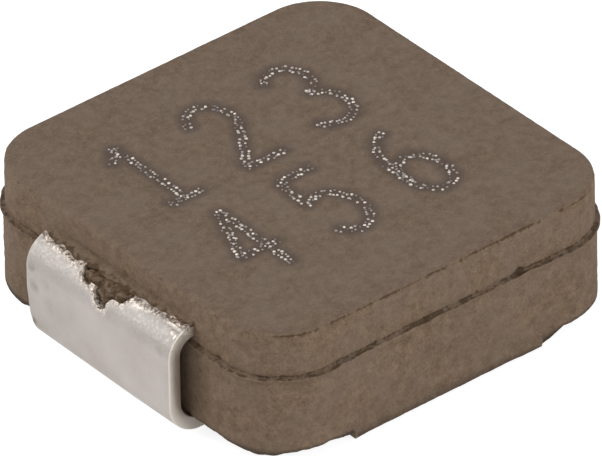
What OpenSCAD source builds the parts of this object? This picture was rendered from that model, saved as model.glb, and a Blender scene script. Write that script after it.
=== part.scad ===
// Shielded surface-mount power inductor.
// A flat copper wire coil is pressed into a block of iron powder and resin. Two folded strips of tinned
// copper carry its ends out of the parting plane, down the end walls and under the base as solder feet.
// Frame: X runs from one foot to the other, Z is up, and the origin is on the board, midway between the feet.

/* [Moulded body] */
// Length of the lower half of the block, between the two end walls
body_length = 6.37; // [6.1:0.01:8.0]
// Width of the lower half of the block
body_width = 6.40; // [5.8:0.01:8.0]
// Height from the base plateau to the top face
body_height = 2.065; // [1.9:0.005:3.0]
// Height of the parting plane above the base plateau
parting_height = 1.38; // [1.3:0.01:1.5]
// Radius of the four upright corners below the parting plane
lower_corner_r = 1.05; // [0.5:0.01:1.3]
// Radius of the four upright corners above the parting plane
upper_corner_r = 0.95; // [0.5:0.01:1.2]
// How far the upper half stands in from the lower half all round
upper_step = 0.05; // [0.02:0.01:0.10]
// Radius of the edge round the top face
top_edge_r = 0.06; // [0.03:0.01:0.15]
// Radius of the edge round the base
base_edge_r = 0.05; // [0.03:0.01:0.10]
// How far the pressed-out lip stands out of the lower half at the parting plane
lip_reach = 0.04; // [0.02:0.01:0.08]
// Thickness of the lip
lip_thickness = 0.05; // [0.03:0.01:0.10]
// Length of the base plateau between the two foot recesses
plateau_length = 3.60; // [3.0:0.05:4.2]
// Depth of the foot recesses above the base plateau
recess_depth = 0.165; // [0.15:0.005:0.25]

/* [Terminals] */
// Thickness of the tinned copper strip
sheet_thickness = 0.20; // [0.15:0.01:0.22]
// Width of the strip
terminal_width = 3.06; // [2.8:0.01:3.6]
// Air gap between the end wall and the strip
wall_gap = 0.20; // [0.15:0.01:0.35]
// Inside radius of the bend at the top
top_bend_r = 0.23; // [0.15:0.01:0.30]
// Inside radius of the bend at the foot
foot_bend_r = 0.35; // [0.20:0.01:0.37]
// Reach of the foot under the body, from the outer face of the strip
foot_length = 1.60; // [1.2:0.01:1.7]
// How far the feet stand below the base plateau
foot_proud = 0.09; // [0.05:0.01:0.12]
// Height of the strip's lower face above the parting plane where it leaves the body
strip_lift = 0.07; // [0.02:0.01:0.10]
// Depth of the two prongs inside the body, from the end wall
prong_depth = 0.70; // [0.6:0.01:0.8]
// Width of the slot between the prongs, which is also the diameter of its round end
slot_width = 0.94; // [0.80:0.01:1.00]
// How far the slot's round end runs down the outer face, below the top of the strip
slot_drop = 0.33; // [0.20:0.01:0.40]
// Reach of the moulding's web into the slot, from the end wall
web_reach = 0.17; // [0.05:0.01:0.20]
// Thickness of that web
web_thickness = 0.14; // [0.08:0.01:0.15]

/* [Coil] */
// Inside diameter of the winding
coil_inner_d = 2.60; // [2.2:0.05:2.8]
// Width of the flat wire, along the radius of the winding
wire_width = 0.85; // [0.6:0.01:0.90]
// Thickness of the flat wire with its enamel
wire_thickness = 0.16; // [0.12:0.01:0.18]
// Moulding compound between one turn and the next
turn_gap = 0.04; // [0.02:0.01:0.05]
// Number of steps up to the next turn
turn_steps = 4; // [2:1:4]
// Angle over which the wire steps up to the next turn
step_angle = 24; // [18:1:30]
// Inside radius of the lead where it turns out of the winding
lead_turn_r = 0.225; // [0.15:0.005:0.30]
// Inside radius of the two flat bends that lift the lower lead
lead_lift_r = 0.10; // [0.06:0.01:0.14]
// Space between the winding and the lifted lead
lead_clearance = 0.10; // [0.05:0.01:0.15]
// Length of each lead that lies under its prong
lead_lap = 0.40; // [0.30:0.01:0.45]

/* [Solder] */
// Radius of the solder fillet at the tip of each lead
solder_r = 0.13; // [0.08:0.01:0.15]
// Width of the fillet
solder_width = 0.78; // [0.5:0.01:0.85]

/* [Hidden] */
$fn = 64;
body_colour = [0.44, 0.39, 0.34];
tin_colour = [0.74, 0.72, 0.70];
copper_colour = [0.72, 0.38, 0.20];
solder_colour = [0.62, 0.62, 0.63];

plateau_z = foot_proud;
parting_z = plateau_z + parting_height;
top_z = plateau_z + body_height;
recess_z = plateau_z + recess_depth;

face_x = body_length / 2 + wall_gap + sheet_thickness;
strip_z = parting_z + strip_lift;
strip_top_z = strip_z + sheet_thickness;
top_bend_x = face_x - sheet_thickness - top_bend_r;
top_bend_z = strip_z - top_bend_r;
foot_bend_x = face_x - sheet_thickness - foot_bend_r;
foot_bend_z = sheet_thickness + foot_bend_r;
prong_x = body_length / 2 - prong_depth;
slot_tilt = 45;
slot_x = face_x + slot_drop - slot_width / 2 / sin(slot_tilt);
slot_tool_length = 2 * slot_width;
web_x = body_length / 2 + web_reach;

turn_pitch = wire_thickness + turn_gap;
coil_inner_r = coil_inner_d / 2;
coil_outer_r = coil_inner_r + wire_width;
coil_mid_r = coil_inner_r + wire_width / 2;
coil_z = strip_z - wire_thickness - turn_steps * turn_pitch;
step_side = 270;
ramp_half = coil_inner_r * sin(step_angle / 2);
ramp_end = coil_outer_r * sin(step_angle / 2);

// The lead turns about a point outside the winding until it runs along X, in line with one prong
lead_y = (slot_width + terminal_width) / 4;
lead_mid_r = lead_turn_r + wire_width / 2;
lead_angle = asin((lead_y + lead_mid_r) / (coil_mid_r + lead_mid_r));
lead_turn_x = (coil_mid_r + lead_mid_r) * cos(lead_angle);
lead_turn_y = lead_y + lead_mid_r;
lead_tip_x = prong_x + lead_lap;
riser_x = coil_outer_r + lead_clearance;

// Overlap by which neighbouring stretches of one wire run into each other, so that they join up
seam = 0.005;
seam_angle = 0.3;

// Block with round upright corners, standing on z = 0, with its top edge rounded.
// One wall section is carried round the outline: straight along the sides, turned at the corners.
module rounded_block(length, width, height, corner_r, edge_r) {
    side_x = length / 2 - corner_r;
    side_y = width / 2 - corner_r;
    translate([-side_x, -side_y, 0]) cube([2 * side_x, 2 * side_y, height]);
    for (turn = [0, 1]) {
        run = turn == 0 ? side_y : side_x;
        out = turn == 0 ? side_x : side_y;
        for (side = [0, 180])
            rotate([0, 0, 90 * turn + side]) translate([out, run, 0]) rotate([90, 0, 0])
                linear_extrude(2 * run) wall_section(corner_r, height, edge_r);
    }
    for (sx = [-1, 1], sy = [-1, 1])
        translate([sx * side_x, sy * side_y, 0])
            rotate([0, 0, sx > 0 ? (sy > 0 ? 0 : 270) : (sy > 0 ? 90 : 180)])
                rotate_extrude(angle = 90) wall_section(corner_r, height, edge_r);
}

// Wall section of the block, from its corner centre outwards, with the outer top edge rounded
module wall_section(reach, height, edge_r) {
    difference() {
        square([reach, height]);
        translate([reach - edge_r, height - edge_r]) difference() {
            square(2 * edge_r);
            circle(edge_r);
        }
    }
}

// Shape of the pressed block before anything is cut out of it
module block() {
    lower_height = parting_height;
    translate([0, 0, parting_z]) mirror([0, 0, 1])
        rounded_block(body_length, body_width, lower_height, lower_corner_r, base_edge_r);
    translate([0, 0, parting_z - lip_thickness])
        rounded_block(body_length + 2 * lip_reach, body_width + 2 * lip_reach, lip_thickness,
                      lower_corner_r + lip_reach, lip_thickness / 2);
    translate([0, 0, parting_z])
        rounded_block(body_length - 2 * upper_step, body_width - 2 * upper_step,
                      top_z - parting_z, upper_corner_r, top_edge_r);
}

module moulded_body() {
    color(body_colour) {
        difference() {
            block();
            foot_recesses();
            strip_solid(1);
            strip_solid(-1);
            winding();
            solder_fillet(1);
            solder_fillet(-1);
        }
        for (side = [-1, 1]) slot_web(side);
    }
}

module foot_recesses() {
    recess_length = body_length;
    for (side = [-1, 1])
        translate([side * (plateau_length + recess_length) / 2, 0, 0])
            cube([recess_length, 2 * body_width, 2 * recess_z], center = true);
}

// Strip on the side given by the sign, with its slot
module strip_solid(side) {
    mirror([side < 0 ? 1 : 0, 0, 0]) difference() {
        strip_blank();
        fork_slot();
    }
}

// Folded strip before the slot is cut, on the +X side
module strip_blank() {
    strip_box(prong_x, top_bend_x, strip_z, strip_top_z);
    strip_bend(top_bend_x, top_bend_z, top_bend_r, 0);
    strip_box(face_x - sheet_thickness, face_x, foot_bend_z, top_bend_z);
    strip_bend(foot_bend_x, foot_bend_z, foot_bend_r, 270);
    strip_box(face_x - foot_length, foot_bend_x, 0, sheet_thickness);
}

module strip_box(x0, x1, z0, z1) {
    translate([x0, -terminal_width / 2, z0]) cube([x1 - x0, terminal_width, z1 - z0]);
}

module strip_bend(x, z, inner_r, start) {
    translate([x, 0, z]) rotate([90, 0, 0]) rotate([0, 0, start])
        rotate_extrude(angle = 90)
            translate([inner_r, -terminal_width / 2]) square([sheet_thickness, terminal_width]);
}

// Tool for the slot between the prongs: open at the prong ends, round where it runs over the bend
module fork_slot() {
    translate([slot_x, 0, strip_top_z]) rotate([0, slot_tilt, 0])
        cylinder(d = slot_width, h = slot_tool_length, center = true);
    slot_length = slot_x - prong_x;
    translate([slot_x - slot_length, 0, strip_z + sheet_thickness / 2])
        cube([2 * slot_length, slot_width, 2 * sheet_thickness], center = true);
}

// Compound that the press leaves in the slot just outside the end wall
module slot_web(side) {
    wall_x = body_length / 2 - upper_step - lip_reach;
    mirror([side < 0 ? 1 : 0, 0, 0]) intersection() {
        fork_slot();
        translate([wall_x, -slot_width, strip_z]) cube([web_x - wall_x, 2 * slot_width, web_thickness]);
    }
}

module terminal_left() { color(tin_colour) strip_solid(-1); }
module terminal_right() { color(tin_colour) strip_solid(1); }

// Flat wire wound on edge: level turns joined by steps, with a lead at each end
module winding() {
    start_angle = lead_angle;
    end_angle = 180 - lead_angle;
    step_in = step_side - step_angle / 2;
    step_out = step_side + step_angle / 2;
    turn_level(0, start_angle - seam_angle, step_in);
    for (level = [1 : turn_steps - 1]) turn_level(level, step_out, step_in + 360);
    turn_level(turn_steps, step_out, end_angle + 360 + seam_angle);
    for (level = [0 : turn_steps - 1]) turn_step(level);
    translate([0, 0, coil_z]) lead_turn();
    lower_lead();
    mirror([1, 0, 0]) {
        translate([0, 0, strip_z - wire_thickness]) lead_turn();
        lead_box(lead_turn_x - seam, lead_tip_x, strip_z - wire_thickness, strip_z);
    }
}

module turn_level(level, from, to) {
    translate([0, 0, coil_z + level * turn_pitch]) rotate([0, 0, from])
        rotate_extrude(angle = to - from)
            translate([coil_inner_r, 0]) square([wire_width, wire_thickness]);
}

// Sloping piece of wire that joins one level to the next
module turn_step(level) {
    rise = [[-ramp_end, 0], [-ramp_half, 0], [ramp_half, turn_pitch], [ramp_end, turn_pitch],
            [ramp_end, turn_pitch + wire_thickness], [ramp_half, turn_pitch + wire_thickness],
            [-ramp_half, wire_thickness], [-ramp_end, wire_thickness]];
    translate([0, 0, coil_z + level * turn_pitch]) intersection() {
        rotate([90, 0, 0]) linear_extrude(coil_outer_r) polygon(rise);
        difference() {
            cylinder(r = coil_outer_r, h = turn_pitch + wire_thickness);
            translate([0, 0, -turn_pitch]) cylinder(r = coil_inner_r, h = 3 * turn_pitch + wire_thickness);
        }
    }
}

// Sideways turn of the wire out of the winding, on the +X side
module lead_turn() {
    translate([lead_turn_x, lead_turn_y, 0]) rotate([0, 0, 180 + lead_angle])
        rotate_extrude(angle = 90 - lead_angle)
            translate([lead_turn_r, 0]) square([wire_width, wire_thickness]);
}

// Lead from the lowest turn, lifted beside the winding to lie under its prong
module lower_lead() {
    low_z = coil_z;
    low_bend_x = riser_x - lead_lift_r;
    low_bend_z = low_z + wire_thickness + lead_lift_r;
    high_bend_x = riser_x + wire_thickness + lead_lift_r;
    high_bend_z = strip_z - wire_thickness - lead_lift_r;
    lead_box(lead_turn_x - seam, low_bend_x + seam, low_z, low_z + wire_thickness);
    lead_bend(low_bend_x, low_bend_z, 270);
    lead_box(riser_x, riser_x + wire_thickness, low_bend_z - seam, high_bend_z + seam);
    lead_bend(high_bend_x, high_bend_z, 90);
    lead_box(high_bend_x - seam, lead_tip_x, strip_z - wire_thickness, strip_z);
}

module lead_box(x0, x1, z0, z1) {
    translate([x0, lead_y - wire_width / 2, z0]) cube([x1 - x0, wire_width, z1 - z0]);
}

module lead_bend(x, z, start) {
    translate([x, lead_y, z]) rotate([90, 0, 0]) rotate([0, 0, start])
        rotate_extrude(angle = 90)
            translate([lead_lift_r, -wire_width / 2]) square([wire_thickness, wire_width]);
}

module coil() { color(copper_colour) winding(); }

// Quarter-round fillet between the tip of a lead and the underside of its prong
module solder_fillet(side) {
    mirror([side < 0 ? 1 : 0, 0, 0])
        translate([lead_tip_x, lead_y, strip_z]) rotate([90, 0, 0]) rotate([0, 0, 270])
            translate([0, 0, -solder_width / 2]) rotate_extrude(angle = 90) square([solder_r, solder_width]);
}

module solder_left() { color(solder_colour) solder_fillet(-1); }
module solder_right() { color(solder_colour) solder_fillet(1); }

moulded_body();
terminal_left();
terminal_right();
coil();
solder_left();
solder_right();
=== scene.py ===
import math
import random

import bmesh
import bpy
from mathutils import Matrix, Vector, noise
from mathutils.kdtree import KDTree


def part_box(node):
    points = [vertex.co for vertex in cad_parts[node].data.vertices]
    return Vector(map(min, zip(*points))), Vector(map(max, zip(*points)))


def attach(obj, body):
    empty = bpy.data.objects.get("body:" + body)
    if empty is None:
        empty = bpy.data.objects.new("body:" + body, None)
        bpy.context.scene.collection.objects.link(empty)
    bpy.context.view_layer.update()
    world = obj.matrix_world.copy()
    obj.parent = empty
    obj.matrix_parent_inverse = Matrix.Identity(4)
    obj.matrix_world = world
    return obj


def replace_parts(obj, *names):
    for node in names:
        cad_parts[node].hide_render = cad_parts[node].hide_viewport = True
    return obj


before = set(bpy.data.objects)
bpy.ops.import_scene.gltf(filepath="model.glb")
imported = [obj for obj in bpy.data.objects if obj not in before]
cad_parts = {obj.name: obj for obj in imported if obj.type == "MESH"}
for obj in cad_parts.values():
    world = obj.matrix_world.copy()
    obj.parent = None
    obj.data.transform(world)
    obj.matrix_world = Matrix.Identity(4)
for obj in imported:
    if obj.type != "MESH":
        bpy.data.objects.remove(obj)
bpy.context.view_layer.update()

# Sweep and light: the part lies on a white sheet under two large soft lamps, one high on the left and
# one on the right. The sheet and the sky show white to the lens, and keep a plain level on the part.
MM = 0.001
SHEET_SIZE = 400.0
SHEET_CELLS = 8
SHEET_DROP = 0.004
SHEET_TONE = 0.80
SKY_LEVEL = 0.55
TONE_TO_LENS = 0.42
GLOW_TO_LENS = 0.84
GLOW_IN_METAL = 0.20
# Each lamp's name, place and width in millimetres, and power in watts
LAMPS = (("key_lamp", (-118, 100, 118), 110, 0.172), ("fill_lamp", (30, -170, 90), 120, 0.16))
# The sockets of a Mix node that hold its two colours and its result
COLOUR_A = 6
COLOUR_B = 7
COLOUR_OUT = 2
sheet = bmesh.new()
bmesh.ops.create_grid(sheet, x_segments=SHEET_CELLS, y_segments=SHEET_CELLS, size=SHEET_SIZE * MM / 2)
bmesh.ops.translate(sheet, verts=sheet.verts[:], vec=(0, 0, -SHEET_DROP * MM))
sheet_mesh = bpy.data.meshes.new("white_sheet")
sheet.to_mesh(sheet_mesh)
sheet.free()
white_sheet = bpy.data.objects.new("white_sheet", sheet_mesh)
bpy.context.scene.collection.objects.link(white_sheet)


def place_node(tree, kind, inputs=None, **settings):
    """One shader node with its settings and the values of its unlinked sockets."""
    node = tree.nodes.new(kind)
    for name, value in settings.items():
        setattr(node, name, value)
    for name, value in (inputs or {}).items():
        node.inputs[name].default_value = value
    return node


def new_material(name):
    """Empty node material with its node tree and its output node."""
    material = bpy.data.materials.new(name)
    material.use_nodes = True
    material.node_tree.nodes.clear()
    return material, material.node_tree, place_node(material.node_tree, "ShaderNodeOutputMaterial")


def grey(level):
    """Neutral colour of one level."""
    return (level, level, level, 1)


paper, tree, out = new_material("white_paper")
paper_lit = place_node(tree, "ShaderNodeBsdfDiffuse")
paper_tone = place_node(tree, "ShaderNodeMix", data_type="RGBA")
paper_tone.inputs[COLOUR_A].default_value = grey(SHEET_TONE)
paper_tone.inputs[COLOUR_B].default_value = grey(TONE_TO_LENS)
paper_glow = place_node(tree, "ShaderNodeEmission", {"Color": grey(1)})
light_path = place_node(tree, "ShaderNodeLightPath")
in_metal = place_node(tree, "ShaderNodeMath", {1: GLOW_IN_METAL}, operation="MULTIPLY")
glow_level = place_node(tree, "ShaderNodeMath", {1: GLOW_TO_LENS}, operation="MULTIPLY_ADD")
paper_sum = place_node(tree, "ShaderNodeAddShader")
tree.links.new(light_path.outputs["Is Camera Ray"], paper_tone.inputs[0])
tree.links.new(paper_tone.outputs[COLOUR_OUT], paper_lit.inputs["Color"])
tree.links.new(light_path.outputs["Is Glossy Ray"], in_metal.inputs[0])
tree.links.new(light_path.outputs["Is Camera Ray"], glow_level.inputs[0])
tree.links.new(in_metal.outputs[0], glow_level.inputs[2])
tree.links.new(glow_level.outputs[0], paper_glow.inputs["Strength"])
tree.links.new(paper_lit.outputs[0], paper_sum.inputs[0])
tree.links.new(paper_glow.outputs[0], paper_sum.inputs[1])
tree.links.new(paper_sum.outputs[0], out.inputs["Surface"])
sheet_mesh.materials.append(paper)

sky = bpy.data.worlds.new("studio_sky")
sky.use_nodes = True
tree = sky.node_tree
tree.nodes.clear()
sky_out = place_node(tree, "ShaderNodeOutputWorld")
sky_seen = place_node(tree, "ShaderNodeBackground", {"Color": grey(1), "Strength": 1.0})
sky_lit = place_node(tree, "ShaderNodeBackground", {"Color": grey(1), "Strength": SKY_LEVEL})
sky_mix = place_node(tree, "ShaderNodeMixShader")
light_path = place_node(tree, "ShaderNodeLightPath")
seen = place_node(tree, "ShaderNodeMath", operation="ADD")
seen_in_part = place_node(tree, "ShaderNodeMath", operation="ADD", use_clamp=True)
tree.links.new(light_path.outputs["Is Camera Ray"], seen.inputs[0])
tree.links.new(light_path.outputs["Is Glossy Ray"], seen.inputs[1])
tree.links.new(seen.outputs[0], seen_in_part.inputs[0])
tree.links.new(light_path.outputs["Is Transmission Ray"], seen_in_part.inputs[1])
tree.links.new(seen_in_part.outputs[0], sky_mix.inputs[0])
tree.links.new(sky_lit.outputs[0], sky_mix.inputs[1])
tree.links.new(sky_seen.outputs[0], sky_mix.inputs[2])
tree.links.new(sky_mix.outputs[0], sky_out.inputs["Surface"])
bpy.context.scene.world = sky
bpy.context.scene.view_settings.view_transform = "Standard"

for lamp_name, lamp_place, lamp_width, lamp_power in LAMPS:
    lamp_data = bpy.data.lights.new(lamp_name, "AREA")
    lamp_data.shape = "DISK"
    lamp_data.size = lamp_width * MM
    lamp_data.energy = lamp_power
    lamp = bpy.data.objects.new(lamp_name, lamp_data)
    lamp.location = Vector(lamp_place) * MM
    lamp.rotation_euler = (-lamp.location).to_track_quat("-Z", "Y").to_euler()
    bpy.context.scene.collection.objects.link(lamp)

# Camera: a long lens some 235 mm away, looking down on the end with the left terminal. The lens is
# rolled by one degree, and it aims a little above the middle of the base.
CAMERA_TURN = math.radians(-39.32)
CAMERA_RISE = math.radians(34.68)
CAMERA_ROLL = math.radians(-0.97)
CAMERA_DISTANCE = 235.3
# The point it aims at: a height over the sheet in the part's middle, then a shift up the view
CAMERA_BASE = 0.09
CAMERA_AIM_UP = 0.829
# Lens and sensor, and the nearest and farthest that the lens takes in
LENS_LENGTH = 1025.0
SENSOR_WIDTH = 36.0
NEAREST_SEEN = 10.0
FARTHEST_SEEN = 10000.0
away = Vector((
    math.sin(CAMERA_TURN) * math.cos(CAMERA_RISE),
    -math.cos(CAMERA_TURN) * math.cos(CAMERA_RISE),
    math.sin(CAMERA_RISE),
))
level_right = Vector((0, 0, 1)).cross(away).normalized()
level_up = away.cross(level_right)
camera_right = level_right * math.cos(CAMERA_ROLL) + level_up * math.sin(CAMERA_ROLL)
camera_up = level_up * math.cos(CAMERA_ROLL) - level_right * math.sin(CAMERA_ROLL)
aim = Vector((0, 0, CAMERA_BASE)) + camera_up * CAMERA_AIM_UP
camera_data = bpy.data.cameras.new("camera")
camera_data.lens = LENS_LENGTH
camera_data.sensor_width = SENSOR_WIDTH
camera_data.clip_start = NEAREST_SEEN * MM
camera_data.clip_end = FARTHEST_SEEN * MM
camera = bpy.data.objects.new("camera", camera_data)
camera.rotation_euler = Matrix((camera_right, camera_up, away)).transposed().to_euler()
camera.location = (aim + away * CAMERA_DISTANCE) * MM
bpy.context.scene.collection.objects.link(camera)
bpy.context.scene.camera = camera

# Moulded body: a block of iron powder and resin pressed in two tool halves, so it has a rim of thin
# flash at the parting plane, a slightly smaller upper half and a grainy matte skin.
body_low, body_high = (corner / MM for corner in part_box("moulded_body"))
LIP_REACH = 0.04
UPPER_INSET = 0.05
LOWER_CORNER = 1.05
UPPER_CORNER = 0.95
PARTING_Z = 1.43
RECESS_Z = 0.255
PLATEAU_ENDS = (-1.71, 1.62)
BASE_INSET = 0.03
TOP_EDGE_R = 0.06
# From the end wall to the outer face of the terminal: the strip's thickness and the gap behind it
WALL_TO_FACE = 0.40
# Mesh: size of a cell, and rows of cells on the rounded upper edge and on the walls of the two halves
MESH_STEP = 0.046
EDGE_ROWS = 6
UPPER_ROWS = 13
LOWER_ROWS = 24
# Heights over the parting plane of the rings in the groove, and of the end of the plain upper wall
GROOVE_RISES = (0.050, 0.036, 0.024, 0.012, 0.0)
UPPER_END_RISE = 0.066
# Rings of the flash: drop under the parting plane and share of its reach, and the drop where it ends
FLASH_RINGS = ((0.002, 0.4), (0.006, 0.95), (0.014, 1.15), (0.030, 1.15), (0.042, 0.8), (0.055, 0.3))
FLASH_END_DROP = 0.07
# Shares of the flash's full reach, and the sum of a place's x and y at which the corners start
FLASH_LEAST = 0.1
FLASH_ON_WALLS = 0.22
FLASH_MORE_ON_CORNERS = 0.75
CORNERS_START = 4.6
CORNERS_RUN = 0.7
# Distances that count as none: between two points, and between a point and a cutting plane or a face
ONE_POINT = 1e-5
IN_PLANE = 1e-6
lower_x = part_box("terminal_right")[1].x / MM - WALL_TO_FACE
lower_y = body_high.y - LIP_REACH
upper_x = lower_x - UPPER_INSET
upper_y = lower_y - UPPER_INSET
top_z = body_high.z


def outline_place(u, v, half_x, half_y, corner_r):
    """Place on a rounded outline of a point on the rim of the square from -1 to 1."""
    along_y = abs(u) >= abs(v)
    side, share = (u, v) if along_y else (v, u)
    reach_out, reach_along = (half_x, half_y) if along_y else (half_y, half_x)
    straight = reach_along - corner_r
    bend_start = straight / (straight + corner_r * math.pi / 4)
    bend = max(0.0, abs(share) - bend_start) / (1 - bend_start) * math.pi / 4
    out_by = reach_out - corner_r + corner_r * math.cos(bend)
    run = min(abs(share), bend_start) / bend_start * straight + corner_r * math.sin(bend)
    out_by = math.copysign(out_by, side)
    run = math.copysign(run, share)
    return (out_by, run) if along_y else (run, out_by)


def grain(place, per_mm, depth):
    """Height of a seeded grain at a place: about one lump in each 1 / per_mm millimetres."""
    return depth * noise.noise(Vector(place) * per_mm)


def near(value, target, reach):
    """One at the target, falling to none at the reach."""
    return max(0.0, 1 - abs(value - target) / reach)


def body_sections():
    """Each ring of the wall from the top down: height, half sizes, corner radius, share of flash."""
    rings = []
    for ring in range(EDGE_ROWS + 1):
        angle = math.pi / 2 * ring / EDGE_ROWS
        pulled_in = TOP_EDGE_R * (1 - math.sin(angle))
        height = top_z - TOP_EDGE_R * (1 - math.cos(angle))
        rings.append((height, upper_x - pulled_in, upper_y - pulled_in, UPPER_CORNER - pulled_in, 0.0))
    upper_start = top_z - TOP_EDGE_R
    upper_end = PARTING_Z + UPPER_END_RISE
    for ring in range(1, UPPER_ROWS + 1):
        height = upper_start - (upper_start - upper_end) * ring / UPPER_ROWS
        rings.append((height, upper_x, upper_y, UPPER_CORNER, 0.0))
    for rise in GROOVE_RISES:
        rings.append((PARTING_Z + rise, upper_x, upper_y, UPPER_CORNER, 0.0))
    for drop, flash in FLASH_RINGS:
        rings.append((PARTING_Z - drop, lower_x, lower_y, LOWER_CORNER, flash))
    lower_start = PARTING_Z - FLASH_END_DROP
    for ring in range(LOWER_ROWS + 1):
        height = lower_start - (lower_start - RECESS_Z) * ring / LOWER_ROWS
        rings.append((height, lower_x, lower_y, LOWER_CORNER, 0.0))
    return rings


def flash_reach(x, y):
    """How far the flash stands out: thin and ragged along the walls, full on the corners."""
    corner = min(1.0, max(0.0, (abs(x) + abs(y) - CORNERS_START) / CORNERS_RUN))
    share = FLASH_ON_WALLS + FLASH_MORE_ON_CORNERS * corner + grain((x, y, 0), 6.0, 0.45)
    return LIP_REACH * min(1.0, max(FLASH_LEAST, share))


sections = body_sections()
side_cuts = 2 * round(upper_x / MESH_STEP)
body = bmesh.new()
bmesh.ops.create_grid(body, x_segments=side_cuts, y_segments=side_cuts, size=1.0)
rim = [edge for edge in body.edges if edge.is_boundary]
for row in range(1, len(sections)):
    pulled = bmesh.ops.extrude_edge_only(body, edges=rim)["geom"]
    ring_verts = [part for part in pulled if isinstance(part, bmesh.types.BMVert)]
    bmesh.ops.translate(body, verts=ring_verts, vec=(0, 0, -1.0))
    rim = [edge for edge in body.edges if edge.is_boundary]
for vert in body.verts:
    u, v, row = vert.co.x, vert.co.y, round(-vert.co.z)
    height, half_x, half_y, corner_r, flash = sections[row]
    share = max(abs(u), abs(v))
    x, y = outline_place(u / share, v / share, half_x, half_y, corner_r) if share > 0 else (0.0, 0.0)
    if flash > 0:
        grown = flash * flash_reach(x, y)
        x, y = outline_place(u / share, v / share, half_x + grown, half_y + grown, corner_r + grown)
    vert.co = (x * share, y * share, height)
# The base: a plateau across the middle stands down between the recesses of the two feet
base = bmesh.ops.contextual_create(body, geom=rim)["faces"]
for cut_x in PLATEAU_ENDS:
    rims = {edge for face in base for edge in face.edges} | {v for face in base for v in face.verts}
    bmesh.ops.bisect_plane(body, geom=base + list(rims), plane_co=(cut_x, 0, 0), plane_no=(1, 0, 0),
                           dist=IN_PLANE)
    base = [face for face in body.faces if all(abs(v.co.z - RECESS_Z) < ONE_POINT for v in face.verts)]
plateau = [face for face in base if PLATEAU_ENDS[0] < face.calc_center_median().x < PLATEAU_ENDS[1]]
recesses = [face for face in base if face not in plateau]
dropped = bmesh.ops.extrude_face_region(body, geom=plateau)["geom"]
bmesh.ops.delete(body, geom=plateau, context="FACES_ONLY")
plateau_verts = [part for part in dropped if isinstance(part, bmesh.types.BMVert)]
bmesh.ops.translate(body, verts=plateau_verts, vec=(0, 0, body_low.z - RECESS_Z))
plateau_faces = [part for part in dropped if isinstance(part, bmesh.types.BMFace)]
for flat_faces in (recesses, plateau_faces):
    bmesh.ops.inset_region(body, faces=flat_faces, thickness=BASE_INSET, use_even_offset=True,
                           use_boundary=True)
body.normal_update()


def finish_piece(shape, name, material):
    """Turns a shape modelled in millimetres into a piece in metres that rides with the part."""
    bmesh.ops.remove_doubles(shape, verts=shape.verts[:], dist=ONE_POINT)
    bmesh.ops.recalc_face_normals(shape, faces=shape.faces[:])
    bmesh.ops.scale(shape, vec=(MM, MM, MM), verts=shape.verts[:])
    for face in shape.faces:
        face.smooth = True
    mesh = bpy.data.meshes.new(name)
    shape.to_mesh(mesh)
    shape.free()
    mesh.materials.append(material)
    piece = bpy.data.objects.new(name, mesh)
    bpy.context.scene.collection.objects.link(piece)
    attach(piece, "root")
    return piece


# Surface of the body: a ragged skin, a chipped upper edge, a wavering groove at the parting plane with
# deep pits, and a ragged burr that hangs from every lower edge.
TOP_SUNK = 0.002
TOP_SKIN = 0.03
SKIN_ON_TOP = 0.12
LIT_SIDE_SHARE = 1.4
# Chips: how far down and how wide their line is, how deep they are, and how many at the back and front
CHIP_LINE_DOWN = 0.042
CHIP_LINE_REACH = 0.032
CHIP_DEPTH = 0.020
CHIPS_AT_BACK = 0.12
CHIPS_IN_FRONT = 0.55
LEAST_UPRIGHT = 0.03
# Groove: height of its middle over the parting plane, reach and depth. The ledge is the band under it
GROOVE_RISE = 0.016
GROOVE_REACH = 0.030
GROOVE_DEPTH = 0.014
LEDGE_TOP = -0.001
LEDGE_BOTTOM = -0.008
WAVER_REACH = 0.12
# How much painted shade the chips, the groove, the ledge and the pits show
CHIP_SHADE = 1.3
GROOVE_SHADE = 1.2
LEDGE_SHADE = 0.9
PIT_SHADE = 30
# Deep pits that the press leaves along the parting plane: x, y, z and depth
PITS = ((1.27, -3.15, 1.455, 0.055), (-0.42, -3.15, 1.45, 0.024), (2.35, -2.95, 1.45, 0.030),
        (0.52, -3.15, 1.46, 0.022), (-2.55, -3.0, 1.47, 0.035), (-3.13, -2.05, 1.46, 0.030),
        (-1.30, -3.15, 1.455, 0.024))
# A pit reaches this many times as far as it is deep
PIT_SPREAD = 1.5
# Places where the burr under the lower edge hangs deepest: x, y, reach and depth
BURRS = ((-2.98, -2.72, 0.60, 0.080), (-1.82, -3.20, 0.32, 0.06), (1.60, -3.20, 0.42, 0.145),
         (2.85, -2.90, 0.5, 0.035), (-3.15, 2.35, 0.80, 0.065), (1.9, 3.2, 0.4, 0.05),
         (-2.4, 3.1, 0.3, 0.03))
# The burr elsewhere, its limit, and the smaller share and limit of the burr on the plateau
BURR_PLAIN = 0.018
BURR_DEEPEST = 0.15
PLATEAU_BURR_DEEPEST = 0.05
PLATEAU_BURR_SHARE = 0.35


def pit_depth(place):
    """Depth at a place of the pits along the parting plane."""
    depth = 0.0
    for x, y, z, size in PITS:
        away_from = (place - Vector((x, y, z))).length / (PIT_SPREAD * size)
        depth = max(depth, size * max(0.0, 1 - away_from ** 2))
    return depth


def burr_depth(place):
    """How far the ragged burr hangs down from a lower edge."""
    depth = BURR_PLAIN + grain(place, 4.0, 0.018) + grain(place, 13.0, 0.012)
    for x, y, reach, deep in BURRS:
        depth += deep * near(math.hypot(place.x - x, place.y - y), 0.0, reach)
    return min(BURR_DEEPEST, max(0.0, depth))


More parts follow.
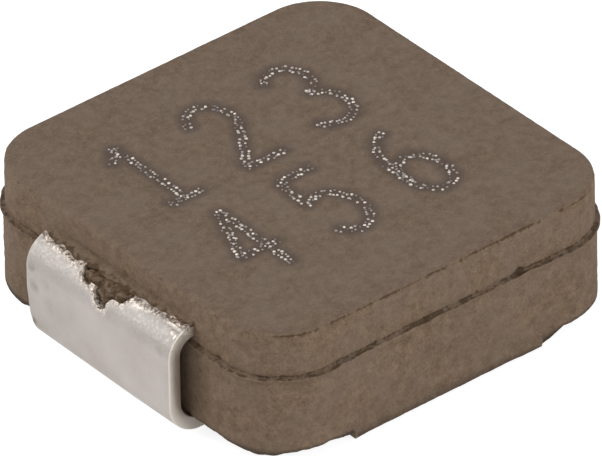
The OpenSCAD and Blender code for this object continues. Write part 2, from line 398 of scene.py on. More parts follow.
shade_paint = body.verts.layers.float.new("shade_paint")
lit_side = body.verts.layers.float.new("lit_side")
burred = {vert for vert in body.verts
          if min(abs(vert.co.z - RECESS_Z), abs(vert.co.z - body_low.z)) < ONE_POINT
          and any(abs(face.normal.z) < 0.5 for face in vert.link_faces)}
moves = []
for vert in body.verts:
    place = vert.co.copy()
    upright = 1 - abs(vert.normal.z)
    to_front = max(0.0, -vert.normal.y)
    skin = grain(place, 9.0, 0.006) + grain(place, 3.5, 0.005) + grain(place, 20.0, 0.006)
    # The upper edge is chipped along a thin broken line
    edge_line = near(place.z, top_z - CHIP_LINE_DOWN, CHIP_LINE_REACH) if upright > LEAST_UPRIGHT else 0.0
    chips = CHIPS_AT_BACK + CHIPS_IN_FRONT * to_front + grain(place, 3.0, 0.5) + grain(place, 12.0, 0.6)
    chipped = edge_line * max(0.0, chips)
    # The parting plane is a groove between the two halves, darkened by painted shade
    above = place.z - PARTING_Z
    groove = near(above, GROOVE_RISE, GROOVE_REACH) if above > LEDGE_TOP else 0.0
    ledge = LEDGE_SHADE if LEDGE_BOTTOM < above <= LEDGE_TOP else 0.0
    broken = min(1.0, max(0.45, 0.65 + grain(place, 3.0, 0.6) + grain(place, 11.0, 1.1)))
    pit = pit_depth(place)
    inwards = CHIP_DEPTH * min(1.0, chipped) + GROOVE_DEPTH * groove * broken + pit
    skin_share = SKIN_ON_TOP + (1 - SKIN_ON_TOP) * upright
    moves.append(vert.normal * (skin * skin_share - inwards))
    # Painted shade: the chips, the groove, the ledge and the pits are darkened in the colour
    vert[shade_paint] = min(1.0, CHIP_SHADE * chipped + (GROOVE_SHADE * groove + ledge) * broken + PIT_SHADE * pit)
    # Painted light: the walls take a lighter, lit copy of the compound's colour
    vert[lit_side] = min(1.0, LIT_SIDE_SHARE * upright)
for vert, move in zip(body.verts, moves):
    if vert in burred:
        burr = burr_depth(vert.co)
        on_plateau = vert.co.z < body_low.z + 0.01
        move.z -= PLATEAU_BURR_SHARE * min(PLATEAU_BURR_DEEPEST, burr) if on_plateau else burr
    level_place = (vert.co.x, vert.co.y, 0)
    waver = grain(level_place, 2.5, 0.022) + grain(level_place, 8.0, 0.016)
    move.z += waver * near(vert.co.z, PARTING_Z, WAVER_REACH)
    vert.co += move
    if vert.co.z > top_z - TOP_SKIN:
        vert.co.z -= TOP_SUNK
    vert.co.x = max(-lower_x - LIP_REACH, min(lower_x + LIP_REACH, vert.co.x))
    vert.co.y = max(body_low.y, min(body_high.y, vert.co.y))
    vert.co.z = min(body_high.z, vert.co.z)


# Marking: two rows of three plain digits that a laser has drawn as a double line of melted beads.
# The beads are bright, and the skin round them is scorched darker.
DIGIT_ROWS = ((1.20, "123"), (-0.93, "456"))
DIGIT_WIDTH = 0.66
DIGIT_HEIGHT = 1.57
DIGIT_PITCH = 1.45
FIRST_DIGIT_X = -1.69
BEAD_STEP = 0.058
BEAD_GAP = 0.080
BEAD_R = 0.026
BEAD_SQUASH = 0.6
# What differs from bead to bead: the share left out, size, brightness (few are bright, and they are
# larger), turn in radians and scatter
BEAD_SEED = 7
BEADS_MISSING = 0.14
BEAD_SIZES = (0.5, 0.9)
BRIGHT_FEW = 1.5
BRIGHT_LARGER = 0.35
BEAD_TURN = 6.28
BEAD_SCATTER = 0.014
# Scorched skin: reach from the nearest bead, depth of the stroke, and how flat its bottom is
SCORCH_REACH = 0.16
STROKE_SUNK = 0.010
STROKE_WIDE = 1.8
BEAD_DULL = (0.17, 0.145, 0.145)
BEAD_BRIGHT = (0.72, 0.66, 0.59)


def arc(centre_x, centre_y, reach_x, reach_y, start, end, steps=14):
    """Points along part of an oval, in shares of the digit's width and height."""
    turns = [math.radians(start + (end - start) * step / steps) for step in range(steps + 1)]
    return [(centre_x + reach_x * math.cos(a), centre_y + reach_y * math.sin(a)) for a in turns]


DIGIT_LINES = {
    "1": [[(0.15, 0.80), (0.55, 1.0), (0.55, 0.0)], [(0.15, 0.0), (0.95, 0.0)]],
    "2": [arc(0.5, 0.72, 0.5, 0.28, 165, -25) + [(0.0, 0.0), (1.0, 0.0)]],
    "3": [arc(0.42, 0.76, 0.5, 0.24, 150, -80) + arc(0.42, 0.27, 0.58, 0.27, 80, -150)],
    "4": [[(0.72, 0.0), (0.72, 1.0), (0.0, 0.33), (1.0, 0.33)]],
    "5": [[(0.95, 1.0), (0.12, 1.0), (0.06, 0.58)] + arc(0.42, 0.32, 0.55, 0.32, 125, -145)],
    "6": [arc(0.85, 0.45, 0.83, 0.55, 100, 180) + arc(0.5, 0.29, 0.48, 0.29, 180, -180, 22)],
}


def digit_paths():
    """All lines of the marking as lists of places on the top face."""
    paths = []
    for row_y, digits in DIGIT_ROWS:
        for column, digit in enumerate(digits):
            for line in DIGIT_LINES[digit]:
                paths.append([Vector((
                    FIRST_DIGIT_X + DIGIT_PITCH * column + (x - 0.5) * DIGIT_WIDTH,
                    row_y + (y - 0.5) * DIGIT_HEIGHT,
                )) for x, y in line])
    return paths


def bead_places():
    """Places of the beads, in two lines beside each other along every path."""
    places = []
    for path in digit_paths():
        spare = 0.0
        for start, end in zip(path, path[1:]):
            run = end - start
            side = Vector((-run.y, run.x)).normalized() * BEAD_GAP / 2
            walked = spare
            while walked < run.length:
                middle = start + run.normalized() * walked
                places += [middle + side, middle - side]
                walked += BEAD_STEP
            spare = walked - run.length
    return places


beads = bmesh.new()
shine = beads.verts.layers.float.new("shine")
luck = random.Random(BEAD_SEED)
spots = bead_places()
for spot in spots:
    if luck.random() < BEADS_MISSING:
        continue
    bead_shine = luck.random() ** BRIGHT_FEW
    bead_r = BEAD_R * (luck.uniform(*BEAD_SIZES) + BRIGHT_LARGER * bead_shine)
    bead = bmesh.ops.create_icosphere(beads, subdivisions=1, radius=bead_r)["verts"]
    angle = luck.uniform(0, BEAD_TURN)
    axis = Vector([luck.gauss(0, 1) for _ in range(3)])
    bmesh.ops.rotate(beads, verts=bead, cent=(0, 0, 0), matrix=Matrix.Rotation(angle, 3, axis))
    bmesh.ops.scale(beads, verts=bead, vec=(1, 1, BEAD_SQUASH))
    shift = Vector((luck.gauss(0, BEAD_SCATTER), luck.gauss(0, BEAD_SCATTER)))
    for vert in bead:
        vert[shine] = bead_shine
    crown = max(vert.co.z for vert in bead)
    bmesh.ops.translate(beads, verts=bead, vec=(spot.x + shift.x, spot.y + shift.y, top_z - crown))

# The laser's heat: the strokes are sunk a little into the skin, and the skin beside them is scorched
strokes = KDTree(len(spots))
for index, spot in enumerate(spots):
    strokes.insert((spot.x, spot.y, 0), index)
strokes.balance()
scorch = body.verts.layers.float.new("scorch")
for vert in body.verts:
    if vert.co.z > top_z - TOP_SKIN:
        nearest = strokes.find((vert.co.x, vert.co.y, 0))[2]
        heat = max(0.0, 1 - nearest / SCORCH_REACH)
        vert[scorch] = heat
        vert.co.z -= STROKE_SUNK * min(1.0, STROKE_WIDE * heat)


# Finish of the compound: brown-grey powder in resin, dull all over, with darker and lighter grains.
# The walls are painted a little lighter than the top, as light, and chips and grooves darker, as shade.
def grain_group():
    """Shader group: uneven grain of a given size, as a mask from 0 to 1."""
    group = bpy.data.node_groups.new("uneven_grain", "ShaderNodeTree")
    for socket in ("Grains per mm", "Roughening", "Contrast"):
        group.interface.new_socket(socket, in_out="INPUT", socket_type="NodeSocketFloat")
    group.interface.new_socket("Mask", in_out="OUTPUT", socket_type="NodeSocketFloat")
    start = place_node(group, "NodeGroupInput")
    end = place_node(group, "NodeGroupOutput")
    place = place_node(group, "ShaderNodeTexCoord")
    spread = place_node(group, "ShaderNodeMapping", {"Scale": (1 / MM, 1 / MM, 1 / MM)})
    cloud = place_node(group, "ShaderNodeTexNoise", {"Detail": 4.0})
    middled = place_node(group, "ShaderNodeMath", {1: 0.5}, operation="SUBTRACT")
    contrast = place_node(group, "ShaderNodeMath", {2: 0.5}, operation="MULTIPLY_ADD", use_clamp=True)
    group.links.new(place.outputs["Object"], spread.inputs["Vector"])
    group.links.new(spread.outputs["Vector"], cloud.inputs["Vector"])
    group.links.new(start.outputs["Grains per mm"], cloud.inputs["Scale"])
    group.links.new(start.outputs["Roughening"], cloud.inputs["Roughness"])
    group.links.new(cloud.outputs[0], middled.inputs[0])
    group.links.new(middled.outputs[0], contrast.inputs[0])
    group.links.new(start.outputs["Contrast"], contrast.inputs[1])
    group.links.new(contrast.outputs[0], end.inputs["Mask"])
    return group


GRAIN = grain_group()


def grain_mask(tree, per_mm, contrast=2.5, roughening=0.6):
    """The shared grain placed in a material, as its mask socket."""
    values = {"Grains per mm": per_mm, "Roughening": roughening, "Contrast": contrast}
    return place_node(tree, "ShaderNodeGroup", values, node_tree=GRAIN).outputs["Mask"]


def mix_colours(tree, mask, low, high):
    """Colour that goes from one value or socket to another by a mask."""
    mix = place_node(tree, "ShaderNodeMix", data_type="RGBA")
    for socket, value in ((mix.inputs[COLOUR_A], low), (mix.inputs[COLOUR_B], high)):
        if isinstance(value, bpy.types.NodeSocket):
            tree.links.new(value, socket)
        else:
            socket.default_value = (*value, 1)
    tree.links.new(mask, mix.inputs[0])
    return mix.outputs[COLOUR_OUT]


def combine(tree, kind, first, second=0.0, third=0.0, clamp=False):
    """Result of one sum on sockets or plain values."""
    node = place_node(tree, "ShaderNodeMath", operation=kind, use_clamp=clamp)
    for socket, value in zip(node.inputs, (first, second, third)):
        if isinstance(value, bpy.types.NodeSocket):
            tree.links.new(value, socket)
        else:
            socket.default_value = value
    return node.outputs[0]


def painted(tree, layer):
    """Mask that is stored on the mesh."""
    return place_node(tree, "ShaderNodeAttribute", attribute_name=layer).outputs["Fac"]


def bumped(tree, shader, height, depth):
    """Small relief on a shader, from a mask and its depth in millimetres."""
    bump = place_node(tree, "ShaderNodeBump", {"Strength": 1.0, "Distance": depth * MM})
    tree.links.new(height, bump.inputs["Height"])
    tree.links.new(bump.outputs["Normal"], shader.inputs["Normal"])


COMPOUND_DARK = (0.108, 0.073, 0.049)
COMPOUND_LIGHT = (0.212, 0.150, 0.106)
# Lit copy of the compound's colour, painted as light on the walls, the film and the plug
LIT_SIDE_DARK = (0.116, 0.075, 0.045)
LIT_SIDE_LIGHT = (0.254, 0.176, 0.117)
COMPOUND_GREY = (0.196, 0.148, 0.113)
# Colour of the painted shade in chips, grooves, pits, on the ledge, at the film's edge and in the plug
COMPOUND_IN_SHADE = (0.066, 0.038, 0.018)
SCORCHED = (0.078, 0.055, 0.045)
COMPOUND_RELIEF = 0.006
compound, tree, out = new_material("pressed_compound")
skin_shader = place_node(tree, "ShaderNodeBsdfPrincipled", {
    "Roughness": 0.85, "Specular IOR Level": 0.25})
fine_grain = grain_mask(tree, 28.0, contrast=3.5, roughening=0.7)
lumps = grain_mask(tree, 7.0, contrast=2.6)
mottle = combine(tree, "MULTIPLY_ADD", fine_grain, 0.4, combine(tree, "MULTIPLY", lumps, 0.6), clamp=True)
skin_colour = mix_colours(tree, mottle, COMPOUND_DARK, COMPOUND_LIGHT)
lit_side_colour = mix_colours(tree, mottle, LIT_SIDE_DARK, LIT_SIDE_LIGHT)
skin_colour = mix_colours(tree, painted(tree, "lit_side"), skin_colour, lit_side_colour)
clouds = grain_mask(tree, 1.8, contrast=4.5, roughening=0.65)
greyer = combine(tree, "MULTIPLY", clouds, 0.4)
skin_colour = mix_colours(tree, greyer, skin_colour, COMPOUND_GREY)
# Painted shade: chips, grooves, pits, the ledge, the film's edge and the sunk plug are darkened
shade_grain = grain_mask(tree, 15.0, contrast=3.0, roughening=0.7)
shade_threshold = combine(tree, "MULTIPLY_ADD", shade_grain, 0.9, -0.80)
shade_share = combine(tree, "ADD", painted(tree, "shade_paint"), shade_threshold)
shade_share = combine(tree, "MULTIPLY", shade_share, 2.5, clamp=True)
shade_share = combine(tree, "MULTIPLY", shade_share, 0.85)
skin_colour = mix_colours(tree, shade_share, skin_colour, COMPOUND_IN_SHADE)
scorched = combine(tree, "MULTIPLY", painted(tree, "scorch"), 0.9)
skin_colour = mix_colours(tree, scorched, skin_colour, SCORCHED)
tree.links.new(skin_colour, skin_shader.inputs["Base Color"])
bumped(tree, skin_shader, fine_grain, COMPOUND_RELIEF)
tree.links.new(skin_shader.outputs[0], out.inputs["Surface"])
moulded_block = finish_piece(body, "moulded_block", compound)
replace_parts(moulded_block, "moulded_body")

bead_metal, tree, out = new_material("melted_bead")
bead_shader = place_node(tree, "ShaderNodeBsdfPrincipled", {"Metallic": 0.5, "Roughness": 0.45})
bead_tone = mix_colours(tree, painted(tree, "shine"), BEAD_DULL, BEAD_BRIGHT)
tree.links.new(bead_tone, bead_shader.inputs["Base Color"])
tree.links.new(bead_shader.outputs[0], out.inputs["Surface"])
marking = finish_piece(beads, "marking_beads", bead_metal)
for polygon in marking.data.polygons:
    polygon.use_smooth = False

# Terminals: two strips of tinned copper, bent down the end walls and under the base. The press has
# torn the slot between the prongs, so its edge is ragged and copper shows in the grains.
strip_low, strip_high = (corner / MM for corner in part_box("terminal_left"))
STRIP_THICK = 0.20
TOP_BEND_OUT = 0.43
FOOT_BEND_OUT = 0.55
FOOT_LENGTH = 1.60
ROOT_DEPTH = 0.25
BLANK_STEP = 0.022
ARRIS_R = 0.022
ARRIS_ANGLE = 1.0
SHADED_SHARP = math.radians(50)
LUMP_RISE = 0.02
# The face leans in below: how far at most, at what height and reach, and from what place across
FACE_BOW = 0.055
BOW_HEIGHT = 0.42
BOW_REACH = 0.55
BOW_START = 0.6
# The torn slot's edge: distance across the strip, and distance along its outer face from the wall
SLOT_EDGE = ((0.53, -0.3), (0.53, 0.17), (0.52, 0.33), (0.43, 0.39), (0.30, 0.40), (0.275, 0.34),
             (0.20, 0.33), (0.165, 0.44), (0.115, 0.50), (0.07, 0.56), (0.0, 0.595), (-0.10, 0.595),
             (-0.125, 0.50), (-0.15, 0.40), (-0.22, 0.35), (-0.30, 0.37), (-0.36, 0.365),
             (-0.40, 0.29), (-0.44, 0.22), (-0.47, 0.16), (-0.47, -0.3))
# The part of the blank, along and across, in which every free edge is the torn one
TORN_ALONG = 0.9
TORN_ACROSS = 0.8
# How far the film of compound creeps over the strip's root, at places across it
ROOT_EDGE = ((1.53, 0.10), (1.32, 0.16), (1.16, 0.14), (1.00, 0.16), (0.84, 0.19), (0.70, 0.21),
             (0.56, 0.17), (-0.47, 0.16), (-0.57, 0.14), (-0.84, 0.136), (-1.06, 0.123),
             (-1.19, 0.095), (-1.53, 0.085))
# How far the torn look reaches from the slot's corners and from just past the film's edge
SLOT_TORN_REACH = 0.09
ROOT_TORN_REACH = 0.11
PAST_FILM = 0.03
# Painted shade on the bend, dimming its highlight: middle and reach in shares of the bend, and strength
BEND_SHADE_MIDDLE = 0.40
BEND_SHADE_REACH = 0.62
BEND_SHADE_STRENGTH = 1.3
# Stains on the plating: distance along and across, reach along and across, strength
STAINS = ((0.66, 1.42, 0.10, 0.10, 0.7), (0.95, 1.36, 0.13, 0.13, 0.5), (1.62, 1.47, 0.09, 0.09, 0.9),
          (0.80, 1.12, 0.12, 0.12, 0.25), (1.15, 1.05, 0.20, 0.20, 0.2), (0.62, -1.30, 0.12, 0.12, 0.3),
          (0.02, -1.54, 0.12, 0.06, 0.4), (0.02, 1.54, 0.12, 0.06, 0.4), (0.17, -1.24, 0.03, 0.16, 0.8),
          (0.23, -1.33, 0.03, 0.14, 0.8), (0.52, -1.34, 0.03, 0.40, 0.25))
# Raised lumps and streaks where the press has torn the strip, with a painted glint: listed as the stains
# are
GLINTS = ((0.20, 0.57, 0.06, 0.06, 1.0), (0.34, 0.24, 0.05, 0.06, 1.0), (0.42, 0.19, 0.05, 0.05, 0.9),
          (0.29, -1.40, 0.04, 0.05, 0.8), (0.32, -1.49, 0.06, 0.04, 0.8), (0.38, -0.31, 0.04, 0.07, 0.6),
          (0.19, -1.33, 0.03, 0.18, 0.8), (0.13, -1.42, 0.03, 0.16, 0.8),
          (0.25, -0.62, 0.07, 0.16, 0.35), (0.24, 0.80, 0.05, 0.20, 0.4), (0.22, 1.15, 0.05, 0.20, 0.4))
GLINT_STRENGTH = 1.6
face_x = -strip_low.x
strip_half = strip_high.y
strip_top_z = strip_high.z
wall_x = upper_x
top_run = face_x - TOP_BEND_OUT - wall_x
top_turn = TOP_BEND_OUT * math.pi / 2
face_run = strip_top_z - TOP_BEND_OUT - FOOT_BEND_OUT
foot_turn = FOOT_BEND_OUT * math.pi / 2
foot_run = FOOT_LENGTH - FOOT_BEND_OUT
blank_end = top_run + top_turn + face_run + foot_turn + foot_run


def fold(along, depth):
    """Distance out and height of a point of the flat strip once it is folded, from its distance along
    the outer face and its depth under that face."""
    if along < top_run:
        return wall_x + along, strip_top_z - depth
    along -= top_run
    if along < top_turn:
        angle = along / TOP_BEND_OUT
        reach = TOP_BEND_OUT - depth
        return (face_x - TOP_BEND_OUT + reach * math.sin(angle),
                strip_top_z - TOP_BEND_OUT + reach * math.cos(angle))
    along -= top_turn
    if along < face_run:
        return face_x - depth, strip_top_z - TOP_BEND_OUT - along
    along -= face_run
    if along < foot_turn:
        angle = along / FOOT_BEND_OUT
        reach = FOOT_BEND_OUT - depth
        return (face_x - FOOT_BEND_OUT + reach * math.cos(angle),
                FOOT_BEND_OUT - reach * math.sin(angle))
    along -= foot_turn
    return face_x - FOOT_BEND_OUT - along, depth


def face_bow(across, height):
    """How far the lower end of the face leans in, most at one edge of the strip."""
    lean = near(height, BOW_HEIGHT, BOW_REACH)
    return FACE_BOW * lean * max(0.0, across + BOW_START) / (strip_half + BOW_START)


def step_between(corners, across):
    """Value at a place across the strip, between the listed corners, or None beyond them."""
    for (from_y, from_s), (to_y, to_s) in zip(corners, corners[1:]):
        if to_y <= across <= from_y and from_y > to_y:
            return from_s + (to_s - from_s) * (from_y - across) / (from_y - to_y)
    return None


def gap_to_slot(along, across):
    """Distance from the nearest listed corner of the torn slot."""
    here = Vector((along, across))
    return min((here - Vector((s, y))).length for y, s in SLOT_EDGE[1:-1])


def spot_strength(spots, along, across):
    """Strength at a place of the strongest of the listed oval spots."""
    return max(strength * max(0.0, 1 - math.hypot((along - s) / reach_s, (across - y) / reach_y))
               for s, y, reach_s, reach_y, strength in spots)


def cut_blank(start, end, half_width, step, keep):
    """Flat grid along and across the strip, without the cells that are not kept."""
    blank = bmesh.new()
    width = 2 * half_width
    bmesh.ops.create_grid(blank, x_segments=round((end - start) / step), y_segments=round(width / step),
                          size=0.5)
    bmesh.ops.scale(blank, verts=blank.verts[:], vec=(end - start, width, 1))
    bmesh.ops.translate(blank, verts=blank.verts[:], vec=((start + end) / 2, 0, 0))
    gone = [face for face in blank.faces if not keep(*face.calc_center_median().xy)]
    bmesh.ops.delete(blank, geom=gone, context="FACES")
    return blank


def thicken(blank, thickness):
    """Gives a flat grid its thickness, downwards from its outer face at depth zero."""
    slab = bmesh.ops.extrude_face_region(blank, geom=blank.faces[:])["geom"]
    bmesh.ops.translate(blank, verts=[part for part in slab if isinstance(part, bmesh.types.BMVert)],
                        vec=(0, 0, thickness))


def terminal_strip(side, name, material):
    """One folded terminal: a flat blank with its slot torn, thickened, its arrises broken, then bent."""
    def keep(along, across):
        depth = step_between(SLOT_EDGE, across * -side)
        return depth is None or along > depth + grain((along, across, side), 14.0, 0.03)

    blank = cut_blank(-ROOT_DEPTH, blank_end, strip_half, BLANK_STEP, keep)
    torn_rim = [vert for vert in blank.verts
                if vert.is_boundary and abs(vert.co.y) < TORN_ACROSS and vert.co.x < TORN_ALONG]
    bmesh.ops.smooth_vert(blank, verts=torn_rim, factor=0.5, use_axis_x=True, use_axis_y=True)
    cut = blank.verts.layers.float.new("cut")
    torn = blank.verts.layers.float.new("torn")
    stain = blank.verts.layers.float.new("stain")
    bent = blank.verts.layers.float.new("bent")
    glint = blank.verts.layers.float.new("glint")
    under = blank.verts.layers.float.new("under")
    bend_shade_middle = top_run + BEND_SHADE_MIDDLE * top_turn
    for vert in blank.verts:
        along, across = vert.co.x, vert.co.y * -side
        torn_slot = near(gap_to_slot(along, across), 0.0, SLOT_TORN_REACH)
        torn_root = near(along, step_between(ROOT_EDGE, across) + PAST_FILM, ROOT_TORN_REACH)
        bend_shading = near(along, bend_shade_middle, BEND_SHADE_REACH * top_turn)
        vert[cut] = 1.0 if vert.is_boundary else 0.0
        vert[torn] = min(1.0, torn_slot + torn_root)
        # Painted shade over the top bend, which dims its highlight
        vert[bent] = min(1.0, BEND_SHADE_STRENGTH * bend_shading)
        vert[stain] = spot_strength(STAINS, along, across)
        vert[glint] = min(1.0, GLINT_STRENGTH * spot_strength(GLINTS, along, across))
    thicken(blank, STRIP_THICK)
    for vert in blank.verts:
        vert[under] = vert.co.z / STRIP_THICK
        if vert.co.z < IN_PLANE:
            vert.co.z -= LUMP_RISE * vert[glint]
    arrises = [edge for edge in blank.edges
               if len(edge.link_faces) == 2 and edge.calc_face_angle() > ARRIS_ANGLE
               and abs(edge.verts[0].co.z - edge.verts[1].co.z) < IN_PLANE]
    bmesh.ops.bevel(blank, geom=arrises, offset=ARRIS_R, offset_type="OFFSET", segments=2, profile=0.5,
                    affect="EDGES", clamp_overlap=True, material=-1)
    for vert in blank.verts:
        across = vert.co.y * -side
        out_by, height = fold(vert.co.x, vert.co.z)
        if vert.co.x > top_run:
            out_by = min(out_by, face_x) - face_bow(across, height)
        vert.co = (side * out_by, vert.co.y, height)
    strip = finish_piece(blank, name, material)
    strip.data.set_sharp_from_angle(angle=SHADED_SHARP)
    return strip


TIN_DULL = (0.480, 0.435, 0.400)
TIN_BRIGHT = (0.560, 0.515, 0.485)
TIN_BEND_SHADE = (0.315, 0.292, 0.272)
TIN_STAINED = (0.20, 0.17, 0.14)
COPPER_AND_GLINT = (0.92, 0.81, 0.71)
TORN_DIRT = (0.16, 0.105, 0.070)
CUT_METAL = (0.66, 0.60, 0.53)
ARRIS_HIGHLIGHT = (0.78, 0.73, 0.67)
TIN_RELIEF = 0.007
tin, tree, out = new_material("tinned_copper_strip")
tin_shader = place_node(tree, "ShaderNodeBsdfPrincipled", {"Metallic": 1.0})
tin_fine = grain_mask(tree, 22.0)
tin_clouds = grain_mask(tree, 1.4, contrast=3.0, roughening=0.5)
tin_colour = mix_colours(tree, tin_clouds, TIN_DULL, TIN_BRIGHT)
uneven = combine(tree, "MULTIPLY_ADD", tin_fine, 0.5, 0.75)
# Painted shade over the top bend, which dims the highlight there
bend_shading = combine(tree, "MULTIPLY", painted(tree, "bent"), uneven, clamp=True)
tin_colour = mix_colours(tree, bend_shading, tin_colour, TIN_BEND_SHADE)
# The cut sides of the strip get a painted highlight along their two arrises
from_middle = combine(tree, "MULTIPLY_ADD", painted(tree, "under"), 2.0, -1.0)
from_middle = combine(tree, "ABSOLUTE", from_middle)
cut_colour = mix_colours(tree, combine(tree, "POWER", from_middle, 5.0), CUT_METAL, ARRIS_HIGHLIGHT)
cut_side = combine(tree, "MULTIPLY", painted(tree, "cut"), 0.85)
tin_colour = mix_colours(tree, cut_side, tin_colour, cut_colour)
stain_grain = combine(tree, "ADD", grain_mask(tree, 9.0, contrast=4.0), 0.3)
stained = combine(tree, "MULTIPLY", painted(tree, "stain"), stain_grain, clamp=True)
tin_colour = mix_colours(tree, stained, tin_colour, TIN_STAINED)
# The torn edges show copper in their grains, painted glints on the raised lumps, and dirt in between
torn_grain = grain_mask(tree, 30.0, contrast=7.0, roughening=0.7)
ragged = combine(tree, "MULTIPLY", painted(tree, "torn"), torn_grain, clamp=True)
tin_colour = mix_colours(tree, ragged, tin_colour, COPPER_AND_GLINT)
# Painted glints: the raised lumps get a bright colour as a highlight
glint_grain = combine(tree, "ADD", torn_grain, 0.25)
glinting = combine(tree, "MULTIPLY", painted(tree, "glint"), glint_grain, clamp=True)
tin_colour = mix_colours(tree, glinting, tin_colour, COPPER_AND_GLINT)
dirt_grain = grain_mask(tree, 20.0, contrast=5.0, roughening=0.7)
dirt_threshold = combine(tree, "MULTIPLY_ADD", dirt_grain, 0.8, -1.12)
dirt = combine(tree, "ADD", painted(tree, "torn"), dirt_threshold)
dirt = combine(tree, "MULTIPLY", dirt, 2.0, clamp=True)
tin_colour = mix_colours(tree, dirt, tin_colour, TORN_DIRT)
tree.links.new(tin_colour, tin_shader.inputs["Base Color"])
tin_rough = place_node(tree, "ShaderNodeMapRange", {"To Min": 0.36, "To Max": 0.46})
tree.links.new(tin_fine, tin_rough.inputs["Value"])
bend_rough = combine(tree, "MULTIPLY_ADD", painted(tree, "bent"), 0.16, tin_rough.outputs["Result"],
                     clamp=True)
tree.links.new(bend_rough, tin_shader.inputs["Roughness"])
torn_relief = combine(tree, "SUBTRACT", ragged, dirt)
relief = combine(tree, "ADD", combine(tree, "MULTIPLY", tin_fine, 0.14), torn_relief)
bumped(tree, tin_shader, relief, TIN_RELIEF)
tree.links.new(tin_shader.outputs[0], out.inputs["Surface"])
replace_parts(terminal_strip(-1, "strip_left", tin), "terminal_left")
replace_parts(terminal_strip(1, "strip_right", tin), "terminal_right")

# Pressed-out compound: a ragged film that creeps over the root of each strip, and a lumpy plug that
# fills its torn slot. Both are the block's own powder and resin, squeezed out by the press.
FILM_STEP = 0.02
# Where the film starts inside the wall, how far it goes under the strip's outer face, and its rise over
# that face at the wall and at its ragged edge
FILM_START = 0.04
FILM_UNDER = 0.03
FILM_RISE = 0.045
FILM_EDGE_RISE = 0.016
# Reach of the painted shade back from the film's ragged edge
FILM_SHADE_REACH = 0.55
# Share of the lighter lit-side colour that is painted on the film as light
FILM_LIT_SIDE = 0.7
# The plug's blank along and across the strip, its overlap under the torn metal, and its mesh step
PLUG_START = -0.06
PLUG_END = 0.66
PLUG_HALF = 0.60
PLUG_OVERLAP = 0.03
PLUG_STEP = 0.016
# Depths of the plug under the strip's outer face: in the middle, more at its edge, least, and back
PLUG_DEPTH = 0.06
PLUG_EDGE_DEPTH = 0.07
PLUG_EDGE_REACH = 0.085
PLUG_LEAST_DEPTH = 0.012
PLUG_BACK = 0.24
# Plug's painted shade: plain, at its edge, and at its tip, with that tip's place and reach along the
# strip
PLUG_SHADE = 0.62
PLUG_EDGE_SHADE = 0.35
PLUG_TIP_SHADE = 0.5
PLUG_TIP = 0.62
PLUG_TIP_REACH = 0.16
# Share of the lighter lit-side colour that is painted on the plug as light
PLUG_LIT_SIDE = 0.9


def root_film(side, name):
    """Film over the root of one strip, thick at the wall and thin at its ragged edge."""
    film = cut_blank(0.0, 1.0, strip_half, FILM_STEP, lambda along, across: True)
    thicken(film, 1.0)
    film_shade = film.verts.layers.float.new("shade_paint")
    film_lit_side = film.verts.layers.float.new("lit_side")
    for vert in film.verts:
        share, across, under = vert.co.x, vert.co.y * -side, vert.co.z
        edge = step_between(ROOT_EDGE, across) + grain((across, side, 0), 7.0, 0.05)
        along = -FILM_START + share * (edge + FILM_START)
        rise = FILM_RISE * (1 - share) + FILM_EDGE_RISE * (1 - share ** 6)
        rise += grain((along, across, side), 14.0, 0.014)
        out_by, height = fold(along, FILM_UNDER if under else -rise)
        spotted = max(0.0, 0.85 + grain((along, across, side), 9.0, 0.8))
        # Painted shade along the film's ragged edge, where it meets the metal
        vert[film_shade] = near(share, 1.0, FILM_SHADE_REACH) * spotted
        # Painted light: the film takes the lighter lit-side colour
        vert[film_lit_side] = FILM_LIT_SIDE
        vert.co = (side * out_by, vert.co.y, height)
    return finish_piece(film, name, compound)


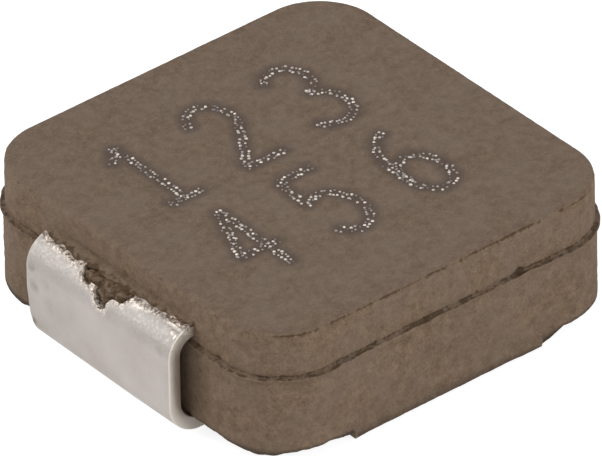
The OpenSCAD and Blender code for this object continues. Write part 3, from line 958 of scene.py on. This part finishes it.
def slot_plug(side, name):
    """Lumpy plug in the torn slot of one strip, sunk under its outer face."""
    def keep(along, across):
        depth = step_between(SLOT_EDGE, across * -side)
        return depth is not None and along < depth + PLUG_OVERLAP

    plug = cut_blank(PLUG_START, PLUG_END, PLUG_HALF, PLUG_STEP, keep)
    thicken(plug, 1.0)
    plug_shade = plug.verts.layers.float.new("shade_paint")
    plug_lit_side = plug.verts.layers.float.new("lit_side")
    for vert in plug.verts:
        along, across, under = vert.co.x, vert.co.y, vert.co.z
        at_edge = near(gap_to_slot(along, across * -side), 0.0, PLUG_EDGE_REACH)
        lumps = grain((along, across, side), 16.0, 0.024) + grain((along, across, side), 6.0, 0.05)
        sunk = PLUG_DEPTH * (0.35 + along) + PLUG_EDGE_DEPTH * at_edge + lumps
        at_tip = near(along, PLUG_TIP, PLUG_TIP_REACH)
        # Painted shade: the plug sits sunk in the slot, darker still at its edge, its tip and its lumps
        shade_share = PLUG_SHADE + PLUG_EDGE_SHADE * at_edge + PLUG_TIP_SHADE * at_tip + 3 * lumps
        vert[plug_shade] = min(1.0, shade_share)
        # Painted light: the plug takes the lighter lit-side colour
        vert[plug_lit_side] = PLUG_LIT_SIDE
        out_by, height = fold(along, PLUG_BACK if under else max(PLUG_LEAST_DEPTH, sunk))
        vert.co = (side * out_by, across, height)
    return finish_piece(plug, name, compound)


for side, hand in ((-1, "left"), (1, "right")):
    for piece in (root_film(side, f"root_film_{hand}"), slot_plug(side, f"slot_plug_{hand}")):
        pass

# Coil and solder: enamelled flat copper wire and its two soldered leads, shut inside the block. Their
# CAD solids already have the right shape, so they only get their finish.
ENAMEL_DARK = (0.52, 0.20, 0.08)
ENAMEL_LIGHT = (0.66, 0.29, 0.13)
SOLDER_DARK = (0.45, 0.45, 0.46)
SOLDER_LIGHT = (0.62, 0.62, 0.63)
enamel, tree, out = new_material("enamelled_copper_wire")
enamel_shader = place_node(tree, "ShaderNodeBsdfPrincipled", {
    "Metallic": 1.0, "Roughness": 0.3, "Coat Weight": 0.6, "Coat Roughness": 0.15})
enamel_colour = mix_colours(tree, grain_mask(tree, 3.0), ENAMEL_DARK, ENAMEL_LIGHT)
tree.links.new(enamel_colour, enamel_shader.inputs["Base Color"])
tree.links.new(enamel_shader.outputs[0], out.inputs["Surface"])
solder, tree, out = new_material("solder_fillet")
solder_shader = place_node(tree, "ShaderNodeBsdfPrincipled", {"Metallic": 1.0})
solder_grain = grain_mask(tree, 8.0)
solder_colour = mix_colours(tree, solder_grain, SOLDER_DARK, SOLDER_LIGHT)
tree.links.new(solder_colour, solder_shader.inputs["Base Color"])
solder_rough = place_node(tree, "ShaderNodeMapRange", {"To Min": 0.22, "To Max": 0.40})
tree.links.new(solder_grain, solder_rough.inputs["Value"])
tree.links.new(solder_rough.outputs["Result"], solder_shader.inputs["Roughness"])
tree.links.new(solder_shader.outputs[0], out.inputs["Surface"])
for node_name, finish in (("coil", enamel), ("solder_left", solder), ("solder_right", solder)):
    node_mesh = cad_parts[node_name].data
    node_mesh.materials.clear()
    node_mesh.materials.append(finish)
